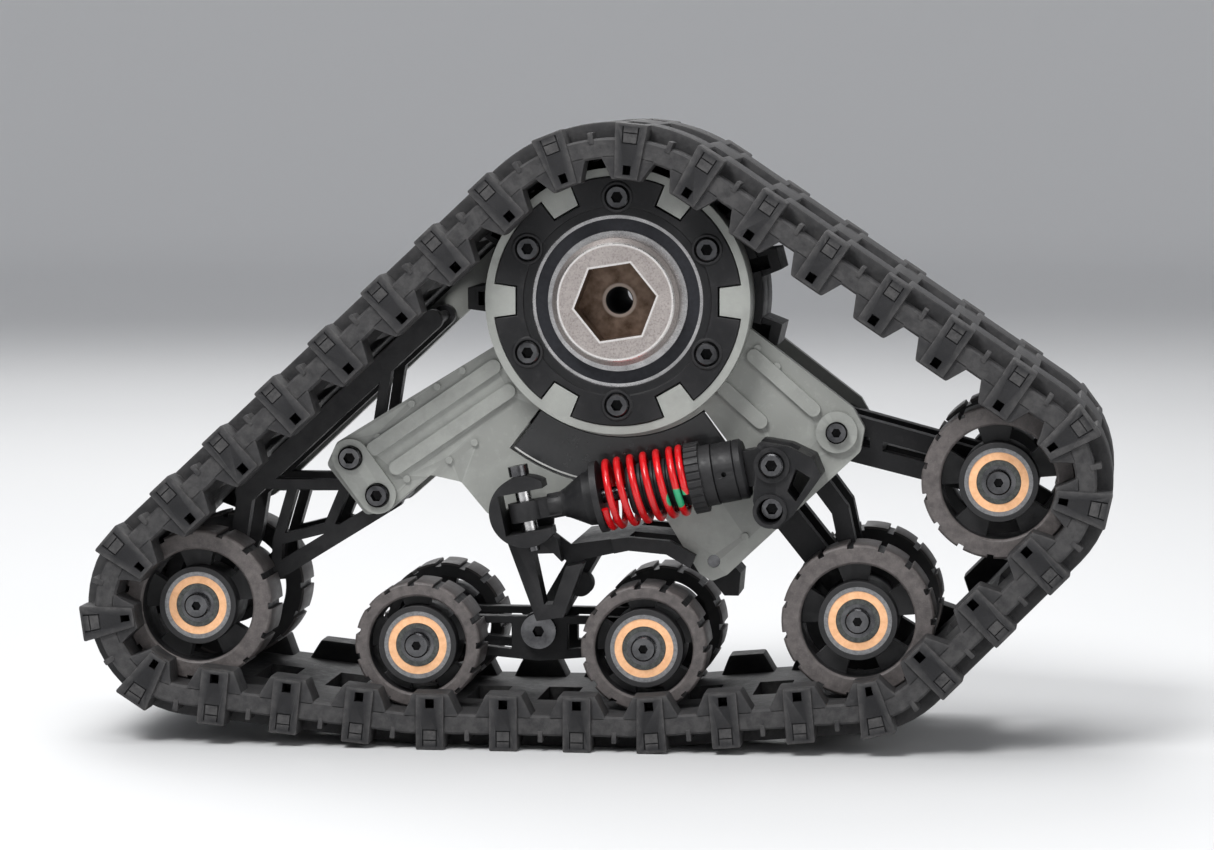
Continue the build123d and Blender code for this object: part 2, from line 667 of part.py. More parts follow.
ARCH = [(-12.0, -58.2), (2.0, -56.2), (12.0, -57.0), (18.0, -60.4), (16.6, -63.4), (11.0, -60.2),
        (2.0, -59.4), (-9.0, -61.8)]
HEEL = [(12.0, -57.0), (20.0, -57.6), (27.5, -66.0), (27.0, -71.4), (23.6, -71.4), (20.5, -67.6),
        (14.0, -64.2)]
HORN = [(-27.0, -55.6), (-16.0, -55.2), (-12.0, -58.2), (-8.4, -62.4), (-13.0, -75.0), (-19.4, -76.0)]
HORN_WINDOW = [(-20.2, -60.0), (-15.4, -59.8), (-12.4, -62.8), (-15.6, -72.0), (-17.6, -72.0)]
HORN_NECK = [(-27.0, -55.6), (-16.0, -55.2), (-16.0, -50.0), (-28.4, -50.0)]
SHOULDER = [(-12.0, -58.2), (2.0, -56.2), (2.0, -59.4), (-9.0, -61.8)]
WEB_Y = (18.0, 21.0)  # faces of the arm's outer webs
HORN_Y = 25.0
HOOK_Y = (-31.6, -22.8)
HOOK_R = 8.4
HOOK_BORE_R = 4.8
PIN_R = 2.0  # arm's pivot pin
ROCK_PIN_R = 2.5  # bogie's pivot pin


def make_suspension_arm():
    with BuildPart() as arm:
        slab(ARCH, -LINK_Y, LINK_Y)
        slab(HEEL, -LINK_Y, LINK_Y)
        rod(ARM_PIVOT, 4.0, -ARM_Y - 1.4, ARM_Y + 1.4)
        bar((-9.6, -61.0), BOGIE_PIVOT, 6.0, -LINK_Y, LINK_Y)
        rod(BOGIE_PIVOT, 4.4, -LINK_Y, LINK_Y)
        slab(SHOULDER, -WEB_Y[1], WEB_Y[1])
        for side in (-1, 1):
            slab(ARCH, side * WEB_Y[0], side * WEB_Y[1])
        # The horn and its hook, which take the shock absorber's rod end.
        slab(HORN, -HORN_Y, -WEB_Y[0])
        slab(HORN_WINDOW, -HORN_Y, -WEB_Y[0], mode=Mode.SUBTRACT)
        rod(BALL, HOOK_R, *HOOK_Y)
        slab(HORN_NECK, -HORN_Y - 0.2, -WEB_Y[0])
        # The hook is open towards the shock absorber.
        front = Plane(origin=(BALL[0], HOOK_Y[0] - 1, BALL[1]), x_dir=SHOCK_DIR, z_dir=(0, -1, 0))
        with BuildSketch(front):
            Circle(HOOK_BORE_R)
            with Locations((4.6, 0)):
                Rectangle(20, 2 * HOOK_BORE_R)
            with Locations((11.4, 0)):
                Rectangle(12, 30)
        extrude(amount=-(HOOK_Y[1] - HOOK_Y[0] + 4.4), mode=Mode.SUBTRACT)
        with BuildSketch(ACROSS.offset(-12)):
            Circle(1.3)
        extrude(amount=24, mode=Mode.SUBTRACT)
        rod((-10.6, -68.6), 3.0, -ARM_Y, -LINK_Y)
        hole(ARM_PIVOT, PIN_R + 0.03)
        hole(BOGIE_PIVOT, ROCK_PIN_R + 0.03)
    save(arm.part, "suspension_arm")


def make_arm_pin():
    with BuildPart() as pin:
        rod(ARM_PIVOT, PIN_R, -PLATE_Y[0] + 0.1, PLATE_Y[0] - 0.1)
        rod(ARM_PIVOT, SHANK_R, -PLATE_Y[1] + 0.4, PLATE_Y[1] + 0.6)
    save(pin.part, "arm_pivot_pin")


BEAM_Y = (8.0, 11.0)
BEAM = [(BOGIE_LEFT[0], -76.6), (BOGIE_RIGHT[0], -76.6), (BOGIE_RIGHT[0], -85.0), (-20.6, -87.4),
        (BOGIE_LEFT[0], -85.0)]
BEAM_WINDOWS = [[(-41.0, -78.4), (-27.4, -78.4), (-27.4, -84.6), (-41.0, -83.2)],
                [(-13.8, -78.4), (-0.2, -78.4), (-0.2, -83.2), (-13.8, -84.6)]]


def make_bogie_beam():
    with BuildPart() as beam:
        for side in (-1, 1):
            y0, y1 = (side * y for y in BEAM_Y)
            slab(BEAM, y0, y1)
            for window in BEAM_WINDOWS:
                slab(window, y0, y1, mode=Mode.SUBTRACT)
        for centre in (BOGIE_LEFT, BOGIE_RIGHT):
            axle_boss(centre, radius=6.4)
            axle_bore(centre)
        for side in (-1, 1):
            rod(BOGIE_PIVOT, 4.6, side * BEAM_Y[0], side * BEAM_Y[1])
        hole(BOGIE_PIVOT, ROCK_PIN_R)
    save(beam.part, "bogie_beam")


def make_bogie_pin():
    with BuildPart() as pin:
        rod(BOGIE_PIVOT, ROCK_PIN_R, -BEAM_Y[1], BEAM_Y[1])
        for side in (-1, 1):
            rod(BOGIE_PIVOT, 4.2, side * BEAM_Y[1], side * (BEAM_Y[1] + 2.2))
        with BuildSketch(at_y(-BEAM_Y[1] - 2.2)):
            with Locations(BOGIE_PIVOT):
                RegularPolygon(1.25, 6, major_radius=False)
        extrude(amount=-1.6, mode=Mode.SUBTRACT)
    save(pin.part, "bogie_pivot_screw")


def shock_turned(profile):
    """Turns (distance along, radius) points about the shock absorber's axis, in the open part."""
    side_plane = Plane(origin=SHOCK.origin, x_dir=SHOCK_DIR, z_dir=(0, -1, 0))
    start, end = profile[0][0], profile[-1][0]
    with BuildSketch(side_plane) as section:
        Polygon((start, 0), *profile, (end, 0), align=None)
    revolve(section.sketch, axis=Axis(SHOCK.origin, SHOCK_DIR))


def make_shock():
    with BuildPart() as body:
        profile = [(BODY_S[0], BODY_R - 0.6), (BODY_S[0] + 0.6, BODY_R)]
        start, pitch, deep = THREAD
        for n in range(int((COLLAR_S[0] - BODY_S[0] - start) / pitch)):
            groove = BODY_S[0] + start + n * pitch
            profile += [(groove, BODY_R), (groove + 0.25, BODY_R - deep), (groove + 0.65, BODY_R - deep),
                        (groove + 0.9, BODY_R)]
        profile += [(COLLAR_S[0], BODY_R), (COLLAR_S[1], BODY_R), (COLLAR_S[1], CAP_R + 0.1),
                    (BODY_S[1], CAP_R + 0.1)]
        shock_turned(profile)
        with BuildSketch(SHOCK.offset(BODY_S[0])):
            Circle(SHAFT_R + 0.1)
        extrude(amount=12, mode=Mode.SUBTRACT)
    save(body.part, "shock_body")
    with BuildPart() as cap:
        shock_turned([(CAP_S[0], CAP_R - 0.4), (CAP_S[0] + 0.4, CAP_R), (CAP_S[0] + 5.0, CAP_R),
                      (CAP_S[0] + 5.2, CAP_R - 0.3), (CAP_S[0] + 5.4, CAP_R), (CAP_S[1] - 0.7, CAP_R),
                      (CAP_S[1], CAP_R - 0.7)])
        bar(around(BALL, CAP_S[1] - 1, SHOCK_ANGLE), SHOCK_EYE, 8.4, SHOCK_Y - 3.7, SHOCK_Y + 3.7)
        vent = around(BALL, CAP_S[0] + 2.6, SHOCK_ANGLE)
        hole(vent, 0.6, -THROUGH, SHOCK_Y - CAP_R + 1.6)
        hole(SHOCK_EYE, SHANK_R + 0.03)
    save(cap.part, "shock_cap")
    with BuildPart() as collar:
        with BuildSketch(SHOCK.offset(COLLAR_S[0])):
            Circle(COLLAR_R)
            with PolarLocations(COLLAR_R, KNURLS):
                Circle(0.42, mode=Mode.SUBTRACT)
            Circle(BODY_R + CLEAR, mode=Mode.SUBTRACT)
        extrude(amount=COLLAR_S[1] - COLLAR_S[0])
    save(collar.part, "preload_collar")
    with BuildPart() as seat:
        shock_turned([(SEAT_S[0], 3.2), (SEAT_S[0] + 1.0, 3.6), (SEAT_S[0] + 5.6, 6.3),
                      (SEAT_S[1] - 1.5, 6.6), (SEAT_S[1] - 1.5, SPRING_R), (SEAT_S[1], SPRING_R)])
        with BuildSketch(SHOCK.offset(SEAT_S[0])):
            Circle(SHAFT_R + 0.05)
        extrude(amount=12, mode=Mode.SUBTRACT)
    save(seat.part, "spring_seat")
    with BuildPart() as shaft:
        with BuildSketch(SHOCK.offset(SHAFT_S[0])):
            Circle(SHAFT_R)
        extrude(amount=SHAFT_S[1] - SHAFT_S[0])
    save(shaft.part, "shock_shaft")
    with BuildPart() as rod_end:
        with BuildSketch(ACROSS.offset(-2.3)):
            Circle(4.1)
            with Locations((0, -4.4)):
                Rectangle(4.6, 8.0)
        extrude(amount=4.6)
        with BuildSketch(SHOCK.offset(5.6)):
            Circle(3.0)
        extrude(amount=SEAT_S[0] - 5.6)
        with BuildSketch(SHOCK.offset(SHAFT_S[0])):
            Circle(SHAFT_R + 0.01)
        extrude(amount=6, mode=Mode.SUBTRACT)
        with Locations(SHOCK.origin):
            Sphere(BALL_R + 0.3, mode=Mode.SUBTRACT)
        with BuildSketch(ACROSS.offset(-4)):
            Circle(2.4)
        extrude(amount=8, mode=Mode.SUBTRACT)
    save(rod_end.part, "rod_end")


def make_ball_screw():
    """The pivot ball and the screw that holds it in the hook, square to the shock absorber."""
    with BuildPart() as ball:
        with Locations(SHOCK.origin):
            Sphere(BALL_R)
        for end in (-4.7, 4.7):
            with BuildSketch(ACROSS.offset(end)):
                Circle(1.9)
            extrude(amount=-end)
        with BuildSketch(ACROSS.offset(-12)):
            Circle(1.29)
        extrude(amount=24, mode=Mode.SUBTRACT)
    save(ball.part, "pivot_ball")
    with BuildPart() as pin:
        with BuildSketch(ACROSS.offset(-9.6)):
            Circle(1.28)
        extrude(amount=18.2)
        with BuildSketch(ACROSS.offset(8.5)):
            Circle(2.4)
        extrude(amount=2.4)
        with BuildSketch(ACROSS.offset(10.9)):
            RegularPolygon(1.0, 6, major_radius=False)
        extrude(amount=-1.4, mode=Mode.SUBTRACT)
    save(pin.part, "ball_screw")


def make_spring():
    length = SPRING_S[1] - SPRING_S[0] - 2 * WIRE_R
    coil_r = SPRING_R - WIRE_R
    lead = length / COILS / (2 * pi * coil_r)
    with BuildPart() as spring:
        with BuildLine():
            Helix(length / COILS, length, coil_r)
        with BuildSketch(Plane(origin=(coil_r, 0, 0), z_dir=(0, 1, lead))):
            Circle(WIRE_R)
        sweep(is_frenet=True)
    placed = SHOCK.offset(SPRING_S[0] + WIRE_R).location * spring.part
    save(placed, "shock_spring")


BRACKET = [(33.6, -32.0), (41.0, -33.2), (46.6, -35.8), (48.4, -40.2), (41.8, -49.4), (38.4, -52.6),
           (34.0, -51.8), (32.6, -46.0)]
BRACKET_WINDOW = [(40.6, -43.6), (42.6, -38.4), (46.0, -40.4), (42.6, -46.0)]
BRACKET_Y = (-33.4, -PLATE_Y[1])
BRACKET_BORE_Y = -25.0  # floor of the tube that the lower screw stands in
FORK = [(30.0, -31.0), (43.0, -31.0), (43.0, -43.4), (30.0, -44.6)]  # room for the shock absorber's eye


def make_shock_bracket():
    with BuildPart() as bracket:
        with BuildSketch(at_y(BRACKET_Y[0])):
            Polygon(*BRACKET, align=None)
            fillet(vertices(), 1.2)
        extrude(amount=BRACKET_Y[0] - BRACKET_Y[1])
        slab(FORK, SHOCK_Y - 4.2, SHOCK_Y + 4.2, mode=Mode.SUBTRACT)
        slab(BRACKET_WINDOW, -THROUGH, THROUGH, mode=Mode.SUBTRACT)
        hole(SHOCK_EYE, HOLE_R)
        hole(BRACKET_BOLT, HOLE_R)
        hole(BRACKET_BOLT, HEAD_SEAT_R, -THROUGH, BRACKET_BORE_Y)
        for place, radius in ((SHOCK_EYE, 4.2), (BRACKET_BOLT, 4.0)):
            ring(place, radius, 3.1, BRACKET_Y[0], BRACKET_Y[0] - 0.8)
    save(bracket.part, "shock_bracket")


# ---- Fasteners of the side plates --------------------------------------------------------------


def make_plate_screws():
    with BuildPart() as retainer_screws:
        for side in (-1, 1):
            for place in RETAINER_BOLTS:
                screw(place, side * RETAINER_SEAT_Y, side, 9)
    save(retainer_screws.part, "retainer_screws")
    with BuildPart() as plate_screws:
        for place in NOSE_BOLTS:
            screw(place, -PLATE_Y[1] - 0.2, -1, 14)
        screw(CORNER, -PLATE_Y[1] - 1.4, -1, 14, head_r=2.6, head_h=1.6, socket=2.0)
        for place in (*NOSE_BOLTS, CORNER, TAIL_BOLT):
            screw(place, PLATE_Y[1], 1, 14)
    save(plate_screws.part, "plate_screws")
    with BuildPart() as bracket_screws:
        screw(SHOCK_EYE, BRACKET_Y[0], -1, 22, head_h=2.2)
        screw(BRACKET_BOLT, BRACKET_BORE_Y, -1, 14)
    save(bracket_screws.part, "bracket_screws")


def main():
    make_belt()
    make_sprocket_half("sprocket_front", -1)
    make_sprocket_half("sprocket_back", 1)
    make_hub()
    make_sprocket_screws()
    make_main_bearings()
    make_outer_plate()
    make_inner_plate()
    make_retainer("outer_retainer", -1)
    make_retainer("inner_retainer", 1)
    make_label()
    make_nose_arm()
    make_tail_arm()
    make_toe_arm()
    for name, (centre, radius, rim) in WHEELS.items():
        make_wheel_disc(f"{name}_wheel_outer", centre, radius, rim, -1)
        make_wheel_disc(f"{name}_wheel_inner", centre, radius, rim, 1)
        make_wheel_bearings(f"{name}_bearing_races", [centre], "race")
        make_wheel_bearings(f"{name}_bearing_seals", [centre], "seal")
    for group, members in (("frame", FIXED), ("bogie", ("bogie_left", "bogie_right"))):
        centres = [WHEELS[m][0] for m in members]
        make_wheel_bearings(f"{group}_bearing_cores", centres, "core")
        make_axles(f"{group}_axles", centres)
        make_axle_screws(f"{group}_axle_screws", centres)
    make_suspension_arm()
    make_arm_pin()
    make_bogie_beam()
    make_bogie_pin()
    make_shock()
    make_ball_screw()
    make_spring()
    make_shock_bracket()
    make_plate_screws()


main()
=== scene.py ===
"""The look of the triangular rubber track unit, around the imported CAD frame. Lengths are in metres."""

import json
import math

import bmesh
import bpy
import numpy as np
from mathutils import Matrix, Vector


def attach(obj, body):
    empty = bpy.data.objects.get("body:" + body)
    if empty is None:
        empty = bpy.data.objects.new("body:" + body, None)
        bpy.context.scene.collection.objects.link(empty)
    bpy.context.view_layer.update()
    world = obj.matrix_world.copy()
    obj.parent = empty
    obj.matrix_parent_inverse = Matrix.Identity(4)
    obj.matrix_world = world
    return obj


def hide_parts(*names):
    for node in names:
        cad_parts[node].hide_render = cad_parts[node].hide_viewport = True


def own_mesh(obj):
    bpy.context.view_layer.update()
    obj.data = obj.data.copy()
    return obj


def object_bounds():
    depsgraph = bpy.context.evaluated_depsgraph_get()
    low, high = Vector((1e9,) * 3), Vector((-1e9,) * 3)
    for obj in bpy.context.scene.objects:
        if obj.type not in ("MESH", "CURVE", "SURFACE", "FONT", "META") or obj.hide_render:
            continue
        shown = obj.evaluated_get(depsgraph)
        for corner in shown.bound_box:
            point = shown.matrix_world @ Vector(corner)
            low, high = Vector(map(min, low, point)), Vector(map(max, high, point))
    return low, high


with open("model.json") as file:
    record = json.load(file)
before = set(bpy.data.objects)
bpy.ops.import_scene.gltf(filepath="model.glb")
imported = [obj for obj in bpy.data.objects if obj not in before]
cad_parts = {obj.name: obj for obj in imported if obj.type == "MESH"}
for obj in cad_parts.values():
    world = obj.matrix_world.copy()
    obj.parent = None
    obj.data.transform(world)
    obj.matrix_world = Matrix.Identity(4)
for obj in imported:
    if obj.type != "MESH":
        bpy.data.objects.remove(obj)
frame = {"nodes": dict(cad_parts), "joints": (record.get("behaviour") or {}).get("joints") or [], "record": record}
CAD_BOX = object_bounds()
NODES = frame["nodes"]
JOINTS = {joint["name"]: joint for joint in frame["joints"]}
MM = 0.001
WELD = 0.01 * MM  # vertices nearer than this are one
TINY = 0.0001 * MM  # less than any real difference
WHEEL_NAMES = ("nose", "bogie_left", "bogie_right", "toe", "tail")


def axis_of(joint):
    """Where a joint's axis crosses the middle plane, as (x, z)."""
    x, _, z = JOINTS[joint]["pos_m"]
    return x, z


HUB = axis_of("sprocket_spin")
WHEELS = [axis_of(f"{name}_wheel_spin") for name in WHEEL_NAMES]
BOGIE_WHEELS = WHEELS[1:3]

# Sizes of the CAD nodes. A depth is a distance from the middle plane.
PITCH = 17.4 * MM  # of the belt's lugs
TEETH = 13
SPROCKET_R = PITCH * TEETH / (2 * math.pi)  # to the belt's neutral line
BIG_R = SPROCKET_R / 2  # road wheels
SMALL_R = BIG_R / 1.2  # bogie wheels
BOSS_R = 9.3 * MM  # radius of a wheel's boss, and of the recess round it
WHEEL_FACE = 27.5 * MM  # depth of the wheels' outer faces
HUB_FACE = 31.0 * MM  # depth of the hub's outer face
HUB_EDGE = (13.25 * MM, 14.0 * MM)  # radii of the painted highlight on the face's rim
SOCKET_EDGE = (8.45 * MM, 8.95 * MM)  # the painted highlight round the wrench socket, from its centre to its flats
SOCKET_TURN = 39  # degrees, direction of one flat of the wrench socket
SOCKET_R = 10.2 * MM  # past the socket's corners
BORE_R = 3.25 * MM
RACE_SPLIT = 6.0 * MM  # radius between the inner and the outer race of a wheel bearing
LABEL_LINE = (43.55 * MM, 43.95 * MM)  # radii of the pale line on the foil
SPRING_MARK = Vector((15.0, -34.5, -45.5)) * MM  # place of the spot of green paint
SPRING_MARK_R = 2.4 * MM


# ---- Shader helpers ----------------------------------------------------------------------------


class Shader:
    """A material's node tree, with short names for the nodes that these finishes share."""

    def __init__(self, name, roughness=0.5, metallic=0.0, specular=0.5, coat=0.0):
        self.material = bpy.data.materials.new(name)
        self.material.use_nodes = True
        self.tree = self.material.node_tree
        self.bsdf = self.tree.nodes["Principled BSDF"]
        self.bsdf.inputs["Roughness"].default_value = roughness
        self.bsdf.inputs["Metallic"].default_value = metallic
        self.bsdf.inputs["Specular IOR Level"].default_value = specular
        self.bsdf.inputs["Coat Weight"].default_value = coat
        self.where = self.node("ShaderNodeTexCoord").outputs["Object"]
        self.last_normal = None

    def node(self, kind, **settings):
        """Adds a node of that kind, with those settings."""
        made = self.tree.nodes.new(kind)
        for key, value in settings.items():
            setattr(made, key, value)
        return made

    def link(self, source, target):
        self.tree.links.new(source, target)

    def noise(self, size, detail=3.0, rough=0.55):
        """Noise whose features are about size metres across; its output runs from 0 to 1."""
        made = self.node("ShaderNodeTexNoise")
        made.inputs["Scale"].default_value = 1 / size
        made.inputs["Detail"].default_value = detail
        made.inputs["Roughness"].default_value = rough
        self.link(self.where, made.inputs["Vector"])
        return made.outputs["Fac"]

    def parts(self):
        """The object's own x, y and z."""
        made = self.node("ShaderNodeSeparateXYZ")
        self.link(self.where, made.inputs[0])
        return made.outputs

    def depth(self):
        """Distance from the middle plane."""
        return self.math("ABSOLUTE", self.parts()[1])

    def radius(self, *axes):
        """Distance from the nearest of these (x, z) axes."""
        x, _, z = self.parts()
        nearest = None
        for axis in axes:
            offsets = [self.math("SUBTRACT", value, centre) for value, centre in zip((x, z), axis)]
            squares = [self.math("MULTIPLY", offset, offset) for offset in offsets]
            away = self.math("SQRT", self.math("ADD", *squares))
            nearest = away if nearest is None else self.math("MINIMUM", nearest, away)
        return nearest

    def band(self, value, low, high, soft):
        """1 where value is between low and high, with soft ends."""
        return self.math("MULTIPLY", self.ramp(value, low - soft, low + soft),
                         self.ramp(value, high - soft, high + soft, 1.0, 0.0))

    def ramp(self, value, low, high, out_low=0.0, out_high=1.0):
        """Maps low..high to out_low..out_high, and holds the ends."""
        made = self.node("ShaderNodeMapRange", clamp=True)
        for key, number in (("From Min", low), ("From Max", high), ("To Min", out_low), ("To Max", out_high)):
            made.inputs[key].default_value = number
        self.link(value, made.inputs["Value"])
        return made.outputs["Result"]

    def math(self, operation, a, b=None):
        """One sum on numbers or sockets."""
        made = self.node("ShaderNodeMath", operation=operation)
        for socket, value in zip(made.inputs, (a, b)):
            if isinstance(value, (int, float)):
                socket.default_value = value
            elif value is not None:
                self.link(value, socket)
        return made.outputs[0]

    def mix(self, factor, a, b):
        """Blends two colours; each is a colour or a socket."""
        made = self.node("ShaderNodeMix", data_type="RGBA")
        sockets = (made.inputs["Factor"], made.inputs[6], made.inputs[7])
        for socket, value in zip(sockets, (factor, a, b)):
            if isinstance(value, (int, float)):
                socket.default_value = value
            elif isinstance(value, tuple):
                socket.default_value = (*value, 1.0)
            else:
                self.link(value, socket)
        return made.outputs[2]

    def edges(self, low=0.505, high=0.56):
        """1 on sharp outer edges, where mould lines catch light and wear shows."""
        return self.ramp(self.node("ShaderNodeNewGeometry").outputs["Pointiness"], low, high)

    def hollows(self):
        """1 in inner corners, where painted shade goes."""
        return self.ramp(self.node("ShaderNodeNewGeometry").outputs["Pointiness"], 0.44, 0.495, 1.0, 0.0)

    def colour(self, value):
        """Sets the base colour from a colour or a socket."""
        if isinstance(value, tuple):
            self.bsdf.inputs["Base Color"].default_value = (*value, 1.0)
        else:
            self.link(value, self.bsdf.inputs["Base Color"])

    def roughness(self, value):
        self.link(value, self.bsdf.inputs["Roughness"])

    def bump(self, height, depth):
        """Adds a bump of that depth in metres for a height of 1."""
        made = self.node("ShaderNodeBump")
        made.inputs["Distance"].default_value = depth
        self.link(height, made.inputs["Height"])
        if self.last_normal is not None:
            self.link(self.last_normal, made.inputs["Normal"])
        self.last_normal = made.outputs["Normal"]
        self.link(self.last_normal, self.bsdf.inputs["Normal"])


def moulded_plastic(name, base, light, specular=0.5, rough=(0.42, 0.6)):
    """Injection-moulded plastic: a fine sparked grain, faint flow marks, and lighter edges."""
    shader = Shader(name, specular=specular)
    flow = shader.noise(18 * MM, 2.0)
    fine = shader.noise(0.35 * MM, 2.0, 0.7)
    speckle = shader.noise(1.4 * MM, 3.0, 0.6)
    body = shader.mix(shader.ramp(flow, 0.35, 0.65, 0.0, 0.5), base, tuple(0.82 * c for c in base))
    body = shader.mix(shader.ramp(speckle, 0.55, 0.8, 0.0, 0.35), body, light)
    worn = shader.math("MULTIPLY", shader.edges(), shader.ramp(shader.noise(4 * MM), 0.3, 0.6, 0.15, 0.5))
    body = shader.mix(worn, body, light)
    shader.colour(body)
    shader.roughness(shader.ramp(speckle, 0.3, 0.7, *rough))
    shader.bump(fine, 0.03 * MM)
    return shader.material


def belt_rubber():
    """Moulded rubber: matt, faintly blue-gray, with pale bloom on raised faces and scuffed edges."""
    shader = Shader("belt_rubber", specular=0.32)
    bloom = shader.noise(9 * MM, 4.0, 0.6)
    grime = shader.noise(2.2 * MM, 5.0, 0.68)
    grit = shader.noise(0.5 * MM, 3.0, 0.75)
    body = shader.mix(shader.ramp(bloom, 0.35, 0.7), (0.013, 0.013, 0.0145), (0.024, 0.0235, 0.025))
    body = shader.mix(shader.ramp(grime, 0.5, 0.78, 0.0, 0.45), body, (0.048, 0.047, 0.047))
    worn = shader.math("MULTIPLY", shader.edges(0.5, 0.58), shader.ramp(grime, 0.3, 0.62, 0.1, 0.6))
    body = shader.mix(worn, body, (0.095, 0.092, 0.091))
    # Painted shade: the inner corners are darkened to near-black.
    body = shader.mix(shader.math("MULTIPLY", shader.hollows(), 0.7), body, (0.004, 0.004, 0.005))
    shader.colour(body)
    shader.roughness(shader.ramp(grime, 0.3, 0.7, 0.52, 0.78))
    shader.bump(grit, 0.05 * MM)
    shader.bump(grime, 0.09 * MM)
    return shader.material


def metal(name, base, dark, roughness, scratch=0.6, shade=0.0):
    """Machined or ground metal, with fine marks and patchy tarnish; shade sets how much painted shade darkens its
    recesses.
    """
    shader = Shader(name, metallic=1.0)
    patches = shader.noise(4.8 * MM, 4.0, 0.6)
    marks = shader.noise(0.56 * MM, 3.0, 0.7)
    body = shader.mix(shader.ramp(patches, 0.35, 0.7), base, dark)
    body = shader.mix(shader.ramp(marks, 0.62, 0.8, 0.0, scratch), body, dark)
    # Painted shade: the recesses are darkened to near-black.
    if shade:
        body = shader.mix(shader.math("MULTIPLY", shader.hollows(), shade), body, (0.004, 0.004, 0.004))
    shader.colour(body)
    shader.roughness(shader.ramp(marks, 0.3, 0.7, *roughness))
    shader.bump(marks, 0.02 * MM)
    return shader.material


def hub_metal():
    """The hub: a grainy pinkish face with painted highlights on its edges, a brown stained socket and painted
    shade in the bore.
    """
    shader = Shader("hub_metal", metallic=1.0)
    x, _, z = shader.parts()
    radius = shader.radius(HUB)
    depth = shader.depth()
    flats = None
    for n in range(3):
        angle = math.radians(SOCKET_TURN + 60 * n)
        across = shader.math("ABSOLUTE", shader.math("ADD", shader.math("MULTIPLY", x, math.cos(angle)),
                                                     shader.math("MULTIPLY", z, math.sin(angle))))
        flats = across if flats is None else shader.math("MAXIMUM", flats, across)
    face_depth = HUB_FACE - 0.3 * MM
    on_face = shader.math("GREATER_THAN", depth, face_depth)
    inside = shader.math("MULTIPLY", shader.math("LESS_THAN", radius, SOCKET_R),
                         shader.math("LESS_THAN", depth, face_depth))
    patches = shader.noise(3.2 * MM, 4.0, 0.65)
    grains = shader.noise(0.4 * MM, 3.0, 0.75)
    face = shader.mix(shader.ramp(patches, 0.3, 0.7), (0.50, 0.455, 0.435), (0.40, 0.36, 0.345))
    face = shader.mix(shader.ramp(grains, 0.48, 0.7, 0.0, 0.75), face, (0.22, 0.195, 0.183))
    # Painted highlights: near-white lines on the face's rim and round the socket.
    rims = shader.math("MAXIMUM", shader.band(radius, *HUB_EDGE, 0.12 * MM),
                       shader.band(flats, *SOCKET_EDGE, 0.12 * MM))
    rims = shader.math("MULTIPLY", rims, on_face)
    face = shader.mix(rims, face, (0.98, 0.94, 0.91))
    stain = shader.mix(shader.ramp(patches, 0.35, 0.65), (0.21, 0.15, 0.115), (0.085, 0.055, 0.038))
    stain = shader.mix(shader.ramp(grains, 0.5, 0.75, 0.0, 0.5), stain, (0.30, 0.235, 0.19))
    bore_edge = shader.band(radius, BORE_R - 0.05 * MM, BORE_R + 0.75 * MM, 0.2 * MM)
    stain = shader.mix(bore_edge, stain, (0.36, 0.30, 0.26))
    # Painted shade: inside the bore the wall is near-black, rough and not metallic.
    bore = shader.math("LESS_THAN", radius, BORE_R)
    stain = shader.mix(bore, stain, (0.003, 0.003, 0.003))
    shader.colour(shader.mix(inside, face, stain))
    gloss = shader.ramp(grains, 0.3, 0.7, 0.42, 0.6)
    gloss = shader.math("SUBTRACT", gloss, shader.math("MULTIPLY", rims, 0.2))
    shader.roughness(shader.math("MAXIMUM", gloss, bore))
    shader.link(shader.math("SUBTRACT", 1.0, bore), shader.bsdf.inputs["Metallic"])
    shader.bump(grains, 0.03 * MM)
    return shader.material


def wheel_plastic():
    """Black wheel plastic, lighter brown-gray on the rims' outer faces and treads, and darker inside."""
    shader = Shader("wheel_plastic")
    radius = shader.radius(*WHEELS)
    depth = shader.depth()
    dust = shader.noise(1.8 * MM, 5.0, 0.65)
    flow = shader.noise(8 * MM)
    speckle = shader.noise(0.5 * MM, 3.0, 0.7)
    black = shader.mix(shader.ramp(flow, 0.35, 0.7), (0.010, 0.010, 0.011), (0.02, 0.019, 0.02))
    # The lighter brown-gray for the rims' outer faces and treads; the rest stays black.
    worn = shader.mix(shader.ramp(dust, 0.32, 0.7), (0.062, 0.054, 0.053), (0.125, 0.110, 0.106))
    worn = shader.mix(shader.ramp(speckle, 0.55, 0.8, 0.0, 0.5), worn, (0.20, 0.185, 0.18))
    rim = shader.math("MULTIPLY", shader.math("GREATER_THAN", radius, BOSS_R),
                      shader.math("GREATER_THAN", depth, WHEEL_FACE - 0.7 * MM))
    bogies = shader.math("LESS_THAN", shader.radius(*BOGIE_WHEELS), 1.2 * SMALL_R)
    edge = shader.math("SUBTRACT", BIG_R, shader.math("MULTIPLY", bogies, BIG_R - SMALL_R))
    tread = shader.math("GREATER_THAN", radius, shader.math("SUBTRACT", edge, 0.6 * MM))
    lighter_faces = shader.math("MAXIMUM", rim, shader.math("MULTIPLY", tread, 0.7))
    shader.colour(shader.mix(lighter_faces, black, worn))
    shader.roughness(shader.ramp(dust, 0.3, 0.7, 0.42, 0.62))
    shader.bump(speckle, 0.03 * MM)
    shader.bump(dust, 0.04 * MM)
    return shader.material


